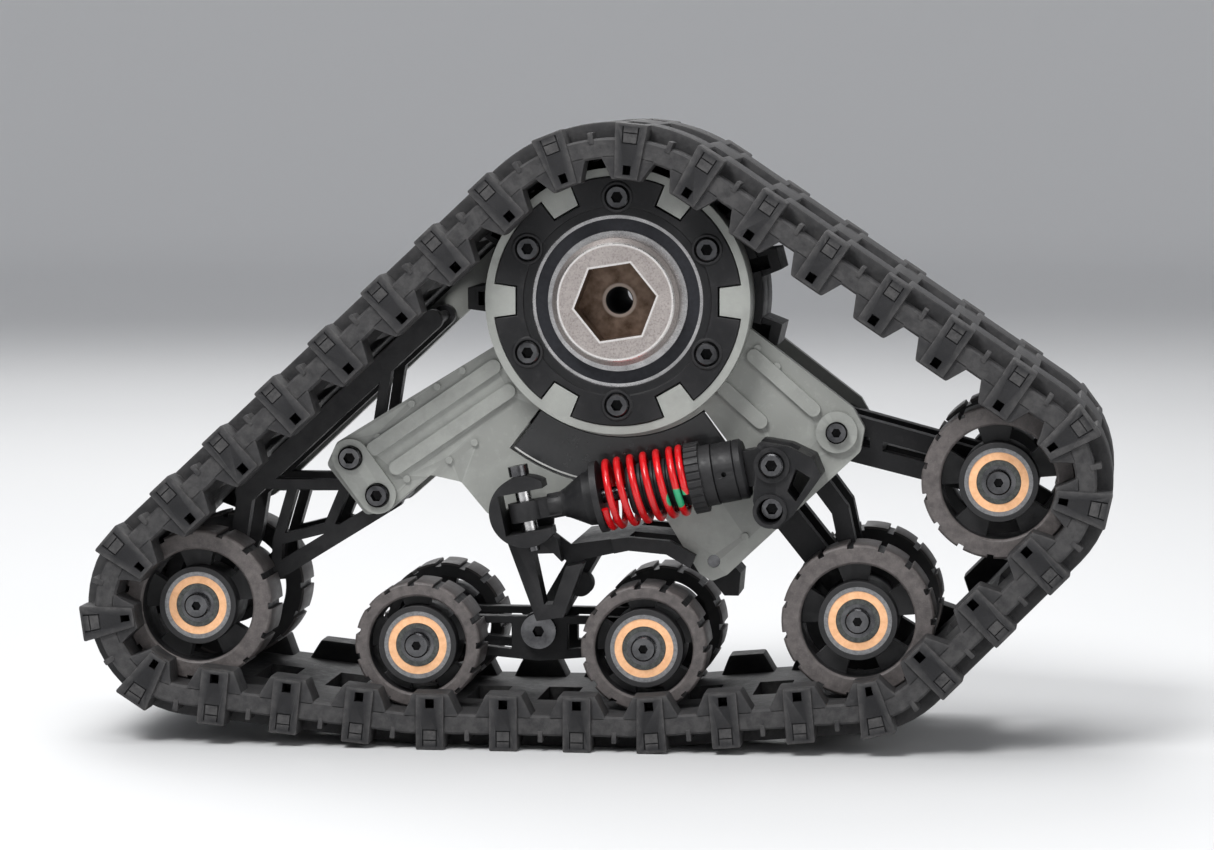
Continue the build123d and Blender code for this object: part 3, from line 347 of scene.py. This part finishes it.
def wheel_race_painted_shade():
    """The wheel bearings' steel, painted darker as shade: a lighter outer race round a darker inner one."""
    shader = Shader("wheel_race_painted_shade", metallic=0.85)
    radius = shader.radius(*WHEELS)
    marks = shader.noise(0.9 * MM, 3.0, 0.7)
    # Both races are painted darker than the hub's race, as shade.
    outer = shader.mix(shader.ramp(marks, 0.35, 0.7), (0.30, 0.30, 0.305), (0.19, 0.19, 0.195))
    inner = shader.mix(shader.ramp(marks, 0.35, 0.7), (0.12, 0.125, 0.12), (0.06, 0.063, 0.06))
    shader.colour(shader.mix(shader.math("GREATER_THAN", radius, RACE_SPLIT), inner, outer))
    shader.roughness(shader.ramp(marks, 0.3, 0.7, 0.3, 0.48))
    shader.bump(marks, 0.02 * MM)
    return shader.material


def seal_rubber(name, base, dark):
    """A bearing's seal: dusty moulded rubber."""
    shader = Shader(name, specular=0.3)
    dust = shader.noise(1.2 * MM, 4.0, 0.6)
    shader.colour(shader.mix(shader.ramp(dust, 0.35, 0.75), base, dark))
    shader.roughness(shader.ramp(dust, 0.3, 0.7, 0.45, 0.6))
    shader.bump(shader.noise(0.4 * MM, 3.0, 0.6), 0.02 * MM)
    return shader.material


def label_foil():
    """Black foil, left blank, with a thin pale line along its lower edge."""
    shader = Shader("label", roughness=0.3, coat=0.4)
    radius = shader.radius(HUB)
    line = shader.math("MULTIPLY", shader.math("GREATER_THAN", radius, LABEL_LINE[0]),
                       shader.math("LESS_THAN", radius, LABEL_LINE[1]))
    dust = shader.noise(3 * MM, 4.0, 0.6)
    body = shader.mix(shader.ramp(dust, 0.45, 0.75, 0.0, 0.5), (0.012, 0.012, 0.013), (0.035, 0.035, 0.036))
    shader.colour(shader.mix(line, body, (0.55, 0.55, 0.53)))
    shader.roughness(shader.ramp(dust, 0.3, 0.7, 0.25, 0.4))
    return shader.material


def spring_enamel():
    """Red enamel on spring wire, with a small green paint mark near the cap."""
    shader = Shader("spring_red", coat=0.35)
    shader.bsdf.inputs["Coat Roughness"].default_value = 0.06
    flow = shader.noise(4 * MM, 3.0, 0.6)
    body = shader.mix(shader.ramp(flow, 0.3, 0.7), (0.66, 0.003, 0.007), (0.50, 0.002, 0.005))
    away = shader.node("ShaderNodeVectorMath", operation="DISTANCE")
    shader.link(shader.where, away.inputs[0])
    away.inputs[1].default_value = SPRING_MARK
    mark = shader.ramp(away.outputs["Value"], SPRING_MARK_R, SPRING_MARK_R + 0.3 * MM, 1.0, 0.0)
    shader.colour(shader.mix(mark, body, (0.02, 0.36, 0.16)))
    shader.roughness(shader.ramp(flow, 0.3, 0.7, 0.24, 0.34))
    return shader.material


MATERIALS = {
    "spring_red": spring_enamel(),
    "belt_rubber": belt_rubber(),
    "gray_plastic": moulded_plastic("gray_plastic", (0.262, 0.268, 0.251), (0.38, 0.39, 0.365),
                                    rough=(0.36, 0.52)),
    "black_plastic": moulded_plastic("black_plastic", (0.008, 0.008, 0.009), (0.038, 0.037, 0.038),
                                     specular=0.3),
    "wheel_plastic": wheel_plastic(),
    "hub_metal": hub_metal(),
    # The screws get painted shade in their recesses, such as the sockets.
    "screw_steel": metal("screw_steel", (0.15, 0.15, 0.155), (0.05, 0.05, 0.053), (0.14, 0.28), shade=0.95),
    "race_steel": metal("race_steel", (0.62, 0.61, 0.61), (0.40, 0.395, 0.395), (0.18, 0.32)),
    "wheel_race_painted_shade": wheel_race_painted_shade(),
    "seal_tan": seal_rubber("seal_tan", (0.93, 0.54, 0.30), (0.78, 0.41, 0.21)),
    "seal_black": seal_rubber("seal_black", (0.016, 0.017, 0.022), (0.009, 0.009, 0.012)),
    # Painted shade: the chrome shaft is made near-black, as the shade inside the spring.
    "shaft_steel": metal("shaft_steel", (0.09, 0.09, 0.095), (0.05, 0.05, 0.052), (0.14, 0.26), scratch=0.3),
    "label": label_foil(),
}


# ---- CAD nodes that stay -----------------------------------------------------------------------

# Bevel widths in millimetres of the moulded pieces' edges, by node.
SOFTEN = {"outer_plate": 0.35, "inner_plate": 0.35, "outer_retainer": 0.25, "inner_retainer": 0.25,
          "nose_arm": 0.3, "tail_arm": 0.3, "toe_arm": 0.3, "suspension_arm": 0.4, "bogie_beam": 0.3,
          "shock_bracket": 0.3, "sprocket_front": 0.25, "sprocket_back": 0.25, "shock_cap": 0.2,
          "rod_end": 0.3}
for wheel in WHEEL_NAMES:
    for side in ("outer", "inner"):
        SOFTEN[f"{wheel}_wheel_{side}"] = 0.22

# These share a slot with the hub's bearing, whose steel is brighter; theirs is painted darker as shade.
WHEEL_RACES = [f"{name}_bearing_races" for name in WHEEL_NAMES]
WHEEL_RACES += ["frame_bearing_cores", "bogie_bearing_cores"]


def finish_cad_nodes():
    """Gives each CAD node the material of its slot, and soft edges where it is moulded."""
    slots = {part["node"]: part["material_slot"] for part in frame["record"]["subparts"]}
    for name, node in NODES.items():
        finish = "wheel_race_painted_shade" if name in WHEEL_RACES else slots[name]
        node.material_slots[0].material = MATERIALS[finish]
        if name in SOFTEN:
            weld = node.modifiers.new("weld", "WELD")
            weld.merge_threshold = 0.001 * MM
            bevel = node.modifiers.new("soft_edges", "BEVEL")
            bevel.width = SOFTEN[name] * MM
            bevel.segments = 2
            bevel.limit_method = "ANGLE"
            bevel.angle_limit = math.radians(40)
            bevel.use_clamp_overlap = True
            bevel.harden_normals = True


finish_cad_nodes()


# ---- Belt --------------------------------------------------------------------------------------

# A pitch of the belt is laid flat in (s, y, h): along it, across it, and the height over its neutral line.
LINKS = 33
HALF_W = 37.5 * MM
HALF_T = 2.4 * MM  # half the thickness of the carcass
FIRST_LUG = 83.7  # degrees, of the lug at the top of the sprocket
TREAD_TOP = HALF_T + 3.7 * MM
GUIDE_TIP = -HALF_T - 4.8 * MM
ROOT = HALF_T - 1.2 * MM  # height where bars and blocks start, inside the carcass
EDGE_Y = HALF_W - 0.8 * MM  # the carcass stops short of the bars' end faces
EDGE_ROUND = 0.5 * MM
WINDOW_Y = 11.0 * MM  # half the width of a drive window
WINDOW_S = 4.2 * MM  # half its length
BAR_S = 3.35 * MM  # half width of a tread bar
BAR_END_Y = 29.5 * MM  # where a bar's full-height end starts
PANEL_S = 1.75 * MM  # half width of the frame on a bar's end
PANEL_H = (1.2 * MM, 3.6 * MM, 5.2 * MM)  # foot, middle line and top of the frame
PANEL_LINE = 0.3 * MM
PANEL_DEEP = 0.35 * MM
SLOT_HALF = 1.05 * MM  # half width of the slot in a bar's end
SLOT_Y = 31.5 * MM  # depth where the slot stops
SLOT_H = (GUIDE_TIP + 1.2 * MM, GUIDE_TIP + 3.4 * MM)
PAD_S = 6.95 * MM  # half width of a shoulder block
PAD_Y = (13.0 * MM, 28.3 * MM)
GUIDE_S = 7.2 * MM  # half width of a guide lug at its root
GUIDE_TAPER = 2.95 * MM
GUIDE_Y = (28.5 * MM, 36.7 * MM)
RIB_S = 0.55 * MM  # half width of the low rib between two bars
STEP_Y = (27.0 * MM, 31.0 * MM)  # the lower step that joins a bar's end to the carcass
MIDDLE_Y = 12.4 * MM  # half length of a bar's middle block


def belt_path():
    """Returns a function from (s, h) to (x, z), with one lug at s = 0, and the belt's length."""
    loop = [(np.array(HUB), SPROCKET_R)]
    for name, centre in zip(WHEEL_NAMES, WHEELS):
        radius = SMALL_R if name.startswith("bogie") else BIG_R
        loop.append((np.array(centre), radius + HALF_T))
    normals, lines = [], []
    for i, (here, r0) in enumerate(loop):
        there, r1 = loop[(i + 1) % len(loop)]
        step = there - here
        reach = np.linalg.norm(step)
        normals.append(math.atan2(step[1], step[0]) - math.acos((r0 - r1) / reach))
        lines.append(math.sqrt(reach ** 2 - (r0 - r1) ** 2))
    # Each leg: where it starts, its arc, its straight run, the arc's centre and radius, and its two angles.
    legs, total = [], 0.0
    for i, (here, radius) in enumerate(loop):
        before = normals[i - 1]
        turn = (normals[i] - before) % (2 * math.pi)
        legs.append((total, radius * turn, lines[i], here, radius, before, normals[i]))
        total += radius * turn + lines[i]
    start = (math.radians(FIRST_LUG) - legs[0][5]) % (2 * math.pi) * legs[0][4]

    def place(along, height):
        s = (start + along) % total
        for begin, arc, line, here, radius, before, normal in legs:
            if s < begin + arc + line:
                break
        if s < begin + arc:
            angle, rest = before + (s - begin) / radius, 0.0
        else:
            angle, rest = normal, s - begin - arc
        out = np.array((math.cos(angle), math.sin(angle)))
        along_line = np.array((-out[1], out[0]))
        return here + out * (radius + height) + along_line * rest

    return place, total


def box_mesh(low, high):
    """A bmesh of the box between two corners."""
    made = bmesh.new()
    bmesh.ops.create_cube(made, size=1.0)
    for vert in made.verts:
        for axis in range(3):
            vert.co[axis] = (low[axis] + high[axis]) / 2 + vert.co[axis] * (high[axis] - low[axis])
    return made


def append(target, made):
    """Copies one bmesh into another and frees it."""
    mesh = bpy.data.meshes.new("scratch")
    made.to_mesh(mesh)
    made.free()
    target.from_mesh(mesh)
    bpy.data.meshes.remove(mesh)


def add_block(target, low, high, bevel, taper=0.0, cuts=0):
    """A block with rounded edges between two corners (s, y, h); taper narrows its inner end.

    The cuts divide it along the belt, so that it can follow the belt's bends.
    """
    made = box_mesh(low, high)
    if taper:
        for vert in made.verts:
            if abs(vert.co.z - low[2]) < TINY:
                vert.co.x -= math.copysign(taper, vert.co.x)
    if cuts:
        long_edges = [e for e in made.edges if abs((e.verts[0].co - e.verts[1].co).x) > 0.1 * MM]
        bmesh.ops.subdivide_edges(made, edges=long_edges, cuts=cuts, use_grid_fill=True)
    sharp = [e for e in made.edges if e.calc_face_angle(0) > math.radians(30)]
    bmesh.ops.bevel(made, geom=sharp, offset=bevel, segments=2, profile=0.6, affect="EDGES",
                    clamp_overlap=True)
    append(target, made)


def carve(source, cutters):
    """Subtracts boxes (low, high) from a bmesh, which it frees, and returns the result as a new bmesh."""
    scratch = []
    for made in [source] + [box_mesh(low, high) for low, high in cutters]:
        mesh = bpy.data.meshes.new("scratch")
        made.to_mesh(mesh)
        made.free()
        scratch.append(bpy.data.objects.new("scratch", mesh))
        bpy.context.scene.collection.objects.link(scratch[-1])
    for cutter in scratch[1:]:
        cut = scratch[0].modifiers.new("cut", "BOOLEAN")
        cut.operation = "DIFFERENCE"
        cut.solver = "EXACT"
        cut.object = cutter
    bpy.context.view_layer.update()
    evaluated = scratch[0].evaluated_get(bpy.context.evaluated_depsgraph_get())
    result = bmesh.new()
    result.from_mesh(evaluated.to_mesh())
    for piece in scratch:
        mesh = piece.data
        bpy.data.objects.remove(piece)
        bpy.data.meshes.remove(mesh)
    return result


def corners(side, along, across, heights):
    """The low and high corner of a box on one side of the belt, from its three ranges."""
    y0, y1 = sorted((side * across[0], side * across[1]))
    return (along[0], y0, heights[0]), (along[1], y1, heights[1])


def end_slot(side):
    """The square slot in a bar's end, which runs on into the guide lug behind it, as (low, high)."""
    return corners(side, (-SLOT_HALF, SLOT_HALF), (SLOT_Y, HALF_W + MM), SLOT_H)


def add_end_block(target, side):
    """A tread bar's end: a full-height face with a framed panel above and a small square slot below."""
    made = bmesh.new()
    low, high = corners(side, (-BAR_S, BAR_S), (BAR_END_Y, HALF_W), (GUIDE_TIP + 0.3 * MM, TREAD_TOP))
    add_block(made, low, high, bevel=0.45 * MM)
    foot, middle, top = PANEL_H
    lines = [((-PANEL_S, PANEL_LINE - PANEL_S), (foot, top)),
             ((PANEL_S - PANEL_LINE, PANEL_S), (foot, top)),
             ((-PANEL_S, PANEL_S), (foot, foot + PANEL_LINE)),
             ((-PANEL_S, PANEL_S), (middle, middle + PANEL_LINE))]
    face = (HALF_W - PANEL_DEEP, HALF_W + MM)
    cutters = [end_slot(side)] + [corners(side, along, face, heights) for along, heights in lines]
    append(target, carve(made, cutters))


def add_carcass(target):
    """One pitch of the belt's body, open at both ends, with half a drive window at each."""
    half = PITCH / 2
    window = half - WINDOW_S
    rows = [0.0, 1.7 * MM, BAR_S, window, window + WINDOW_S / 3, window + 2 * WINDOW_S / 3, half]
    rows = [-s for s in rows[:0:-1]] + rows
    right = [(WINDOW_Y, HALF_T), (GUIDE_Y[0], HALF_T), (EDGE_Y - EDGE_ROUND, HALF_T),
             (EDGE_Y, HALF_T - EDGE_ROUND)]
    top = [(-y, h) for y, h in right[::-1]] + right
    ring = top + [(y, -h) for y, h in top[::-1]]
    # Places in the ring of the window's left and right edges, above and below.
    left_top, right_top, right_low, left_low = 3, 4, 11, 12
    verts = [[target.verts.new((s, y, h)) for y, h in ring] for s in rows]
    for a in range(len(rows) - 1):
        spans = [(b, (b + 1) % len(ring)) for b in range(len(ring))]
        if abs(rows[a] + rows[a + 1]) / 2 > window:
            spans.remove((left_top, right_top))
            spans.remove((right_low, left_low))
            spans += [(left_top, left_low), (right_low, right_top)]
        for b, c in spans:
            target.faces.new((verts[a][b], verts[a][c], verts[a + 1][c], verts[a + 1][b]))
    for s in (-window, window):
        row = verts[rows.index(s)]
        end = [row[place] for place in (left_top, right_top, right_low, left_low)]
        target.faces.new(end if s > 0 else end[::-1])


def belt_link():
    """One pitch of the belt, laid flat, as (vertices, faces)."""
    link = bmesh.new()
    add_carcass(link)
    gap = PITCH / 2
    bar, pad, rib = (-BAR_S, BAR_S), (gap - PAD_S, gap + PAD_S), (gap - RIB_S, gap + RIB_S)
    for side in (-1, 1):
        add_end_block(link, side)
        lug = bmesh.new()
        low, high = corners(side, (-GUIDE_S, GUIDE_S), GUIDE_Y, (GUIDE_TIP, -ROOT))
        add_block(lug, low, high, bevel=0.55 * MM, taper=GUIDE_TAPER, cuts=3)
        append(link, carve(lug, [end_slot(side)]))
        low, high = corners(side, rib, (BAR_END_Y, EDGE_Y + 0.25 * MM), (ROOT, HALF_T + 1.5 * MM))
        add_block(link, low, high, bevel=0.2 * MM)
        low, high = corners(side, pad, PAD_Y, (ROOT, TREAD_TOP))
        add_block(link, low, high, bevel=0.5 * MM, cuts=5)
        low, high = corners(side, bar, STEP_Y, (ROOT, TREAD_TOP - 0.9 * MM))
        add_block(link, low, high, bevel=0.4 * MM, cuts=1)
    low, high = corners(1, bar, (-MIDDLE_Y, MIDDLE_Y), (ROOT, TREAD_TOP))
    add_block(link, low, high, bevel=0.45 * MM, cuts=1)
    link.verts.ensure_lookup_table()
    link.verts.index_update()
    points = [tuple(v.co) for v in link.verts]
    faces = [tuple(v.index for v in f.verts) for f in link.faces]
    link.free()
    return points, faces


def add_object(mesh):
    """An object for the mesh, with its name, linked to the scene."""
    made = bpy.data.objects.new(mesh.name, mesh)
    bpy.context.scene.collection.objects.link(made)
    return made


def finish_mesh(mesh, material, sharp=35):
    """Gives the mesh its material, smooth shading, and sharp edges over that angle in degrees."""
    mesh.polygons.foreach_set("use_smooth", [True] * len(mesh.polygons))
    mesh.set_sharp_from_angle(angle=math.radians(sharp))
    mesh.materials.append(MATERIALS[material])
    mesh.update()


def make_belt():
    """The belt: its pitches bent round the path, joined, and kept above the CAD's lowest point."""
    place, total = belt_path()
    points, faces = belt_link()
    stretch = total / (LINKS * PITCH)
    verts, polys = [], []
    for n in range(LINKS):
        first = len(verts)
        for s, y, h in points:
            x, z = place((n * PITCH + s) * stretch, h)
            verts.append((x, y, max(z, CAD_BOX[0][2])))
        polys += [tuple(first + i for i in face) for face in faces]
    mesh = bpy.data.meshes.new("rubber_belt")
    mesh.from_pydata(verts, [], polys)
    clean = bmesh.new()
    clean.from_mesh(mesh)
    bmesh.ops.remove_doubles(clean, verts=clean.verts, dist=WELD)
    bmesh.ops.recalc_face_normals(clean, faces=clean.faces)
    clean.to_mesh(mesh)
    clean.free()
    finish_mesh(mesh, "belt_rubber")
    belt = add_object(mesh)
    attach(belt, "frame")
    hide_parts("track_belt")


make_belt()


# ---- Spring ------------------------------------------------------------------------------------

WIRE_R = 0.85 * MM
WIRE_SIDES = 14
SPRING_R = 8.5 * MM  # outside radius
SPRING_FOOT, SPRING_TOP = 41.2 * MM, 20.0 * MM  # distances from the shock absorber's eye
TURNS = 7
TURN_STEPS = 40
CLOSED_TURNS = 0.7  # at each end, before the coils start to open
OPENING_TURNS = 0.6  # over which they open
END_PITCH = 1.9 * MM  # of the closed turns
START_ANGLE = math.radians(200)
SHOCK_EYE = Vector(JOINTS["shock_swing"]["pos_m"])
SHOCK_DIR = Vector(JOINTS["shock_slide"]["axis"])


def ease(value):
    """A smooth step from 0 to 1."""
    value = np.clip(value, 0, 1)
    return value * value * (3 - 2 * value)


def make_spring():
    """The coil spring, with a closed turn at each end, between the lower seat and the preload collar."""
    length = SPRING_FOOT - SPRING_TOP - 2 * WIRE_R
    up = Vector((-SHOCK_DIR.z, 0, SHOCK_DIR.x))
    low_end = SHOCK_EYE - SHOCK_DIR * (SPRING_FOOT - WIRE_R)
    steps = TURN_STEPS * TURNS
    turn = np.linspace(0, TURNS, steps + 1)
    from_foot, from_top = turn - CLOSED_TURNS, TURNS - CLOSED_TURNS - turn
    opening = ease(from_foot / OPENING_TURNS) * ease(from_top / OPENING_TURNS)
    pitch = END_PITCH + (length / TURNS - END_PITCH) / opening.mean() * opening
    climb = np.concatenate(([0], np.cumsum((pitch[1:] + pitch[:-1]) / 2 * TURNS / steps)))
    climb *= length / climb[-1]
    verts, faces = [], []
    for n in range(steps + 1):
        angle = 2 * math.pi * turn[n] + START_ANGLE
        side = Vector((0, 1, 0)) * math.cos(angle) + up * math.sin(angle)
        at = low_end + SHOCK_DIR * climb[n] + side * (SPRING_R - WIRE_R)
        for k in range(WIRE_SIDES):
            a = 2 * math.pi * k / WIRE_SIDES
            verts.append(at + side * (WIRE_R * math.cos(a)) + SHOCK_DIR * (WIRE_R * math.sin(a)))
    for first in range(0, steps * WIRE_SIDES, WIRE_SIDES):
        for k in range(WIRE_SIDES):
            a, b = first + k, first + (k + 1) % WIRE_SIDES
            faces.append((a, b, b + WIRE_SIDES, a + WIRE_SIDES))
    faces.append(tuple(range(WIRE_SIDES)))
    faces.append(tuple(reversed(range(steps * WIRE_SIDES, (steps + 1) * WIRE_SIDES))))
    mesh = bpy.data.meshes.new("coil_spring")
    mesh.from_pydata(verts, [], faces)
    finish_mesh(mesh, "spring_red", sharp=60)
    spring = add_object(mesh)
    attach(spring, "shock")
    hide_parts("shock_spring")
    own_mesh(spring)


make_spring()


# ---- Camera, light and floor -------------------------------------------------------------------

CENTRE = (Vector(CAD_BOX[0]) + Vector(CAD_BOX[1])) / 2
CAMERA_OFFSET = Vector((0.124, -1.03, 0.086))  # from the centre
# Name, place, size and power of each lamp.
LAMPS = (
    ("key", (-0.35, -0.8, 1.0), 0.5, 17),
    ("fill", (0.9, -0.9, 0.35), 0.8, 4),
    ("top", (0.05, 0.1, 1.1), 0.9, 9),
    ("back", (-0.3, 0.9, 0.8), 0.8, 7),
)
LEVEL_R = 0.5  # up to here the floor's shading stays level too
FLOOR_R = 2.4
SWEEP_R = 0.9  # of the bend between floor and wall
WALL_TOP = 3.0


def aim(holder, place):
    """Puts a camera or a lamp at that place, turned towards the object."""
    holder.location = place
    holder.rotation_euler = (CENTRE - Vector(place)).to_track_quat("-Z", "Y").to_euler()
    bpy.context.scene.collection.objects.link(holder)


def add_camera():
    camera = bpy.data.cameras.new("camera")
    camera.lens = 128
    camera.sensor_width = 36
    camera.clip_start = 0.01
    eye = bpy.data.objects.new("camera", camera)
    aim(eye, CENTRE + CAMERA_OFFSET)
    bpy.context.scene.camera = eye


def add_lights():
    for name, place, size, power in LAMPS:
        lamp = bpy.data.lights.new(name, "AREA")
        lamp.energy = power
        lamp.size = size
        aim(bpy.data.objects.new(name, lamp), place)
    world = bpy.data.worlds.new("world")
    world.use_nodes = True
    background = world.node_tree.nodes["Background"]
    background.inputs["Color"].default_value = (0.9, 0.93, 1.0, 1.0)
    background.inputs["Strength"].default_value = 0.3
    bpy.context.scene.world = world
    bpy.context.scene.view_settings.view_transform = "Standard"


def floor_paint():
    """A gray that gets lighter towards the wall."""
    shader = Shader("floor", roughness=0.75)
    near = shader.mix(shader.noise(0.4, 2.0), (0.6, 0.6, 0.6), (0.56, 0.565, 0.57))
    away = shader.node("ShaderNodeVectorMath", operation="LENGTH")
    shader.link(shader.where, away.inputs[0])
    shader.colour(shader.mix(shader.ramp(away.outputs["Value"], 1.0, 2.6), near, (0.88, 0.88, 0.88)))
    return shader.material


def add_floor():
    """A round floor that sweeps up into a wall on every side."""
    profile = [(0.0, 0.0), (LEVEL_R, 0.0), (FLOOR_R, 0.0)]
    profile += [(FLOOR_R + SWEEP_R * math.sin(a), SWEEP_R * (1 - math.cos(a)))
                for a in np.linspace(0.1, math.pi / 2, 14)]
    profile.append((FLOOR_R + SWEEP_R, WALL_TOP))
    sweep = bmesh.new()
    points = [sweep.verts.new((r, 0, CAD_BOX[0][2] + z)) for r, z in profile]
    edges = [sweep.edges.new(pair) for pair in zip(points, points[1:])]
    bmesh.ops.spin(sweep, geom=points + edges, cent=(0, 0, 0), axis=(0, 0, 1), angle=2 * math.pi, steps=72)
    bmesh.ops.remove_doubles(sweep, verts=sweep.verts, dist=WELD)
    for face in sweep.faces:
        face.smooth = True
    mesh = bpy.data.meshes.new("floor")
    sweep.to_mesh(mesh)
    sweep.free()
    mesh.materials.append(floor_paint())
    add_object(mesh)


add_camera()
add_lights()
add_floor()
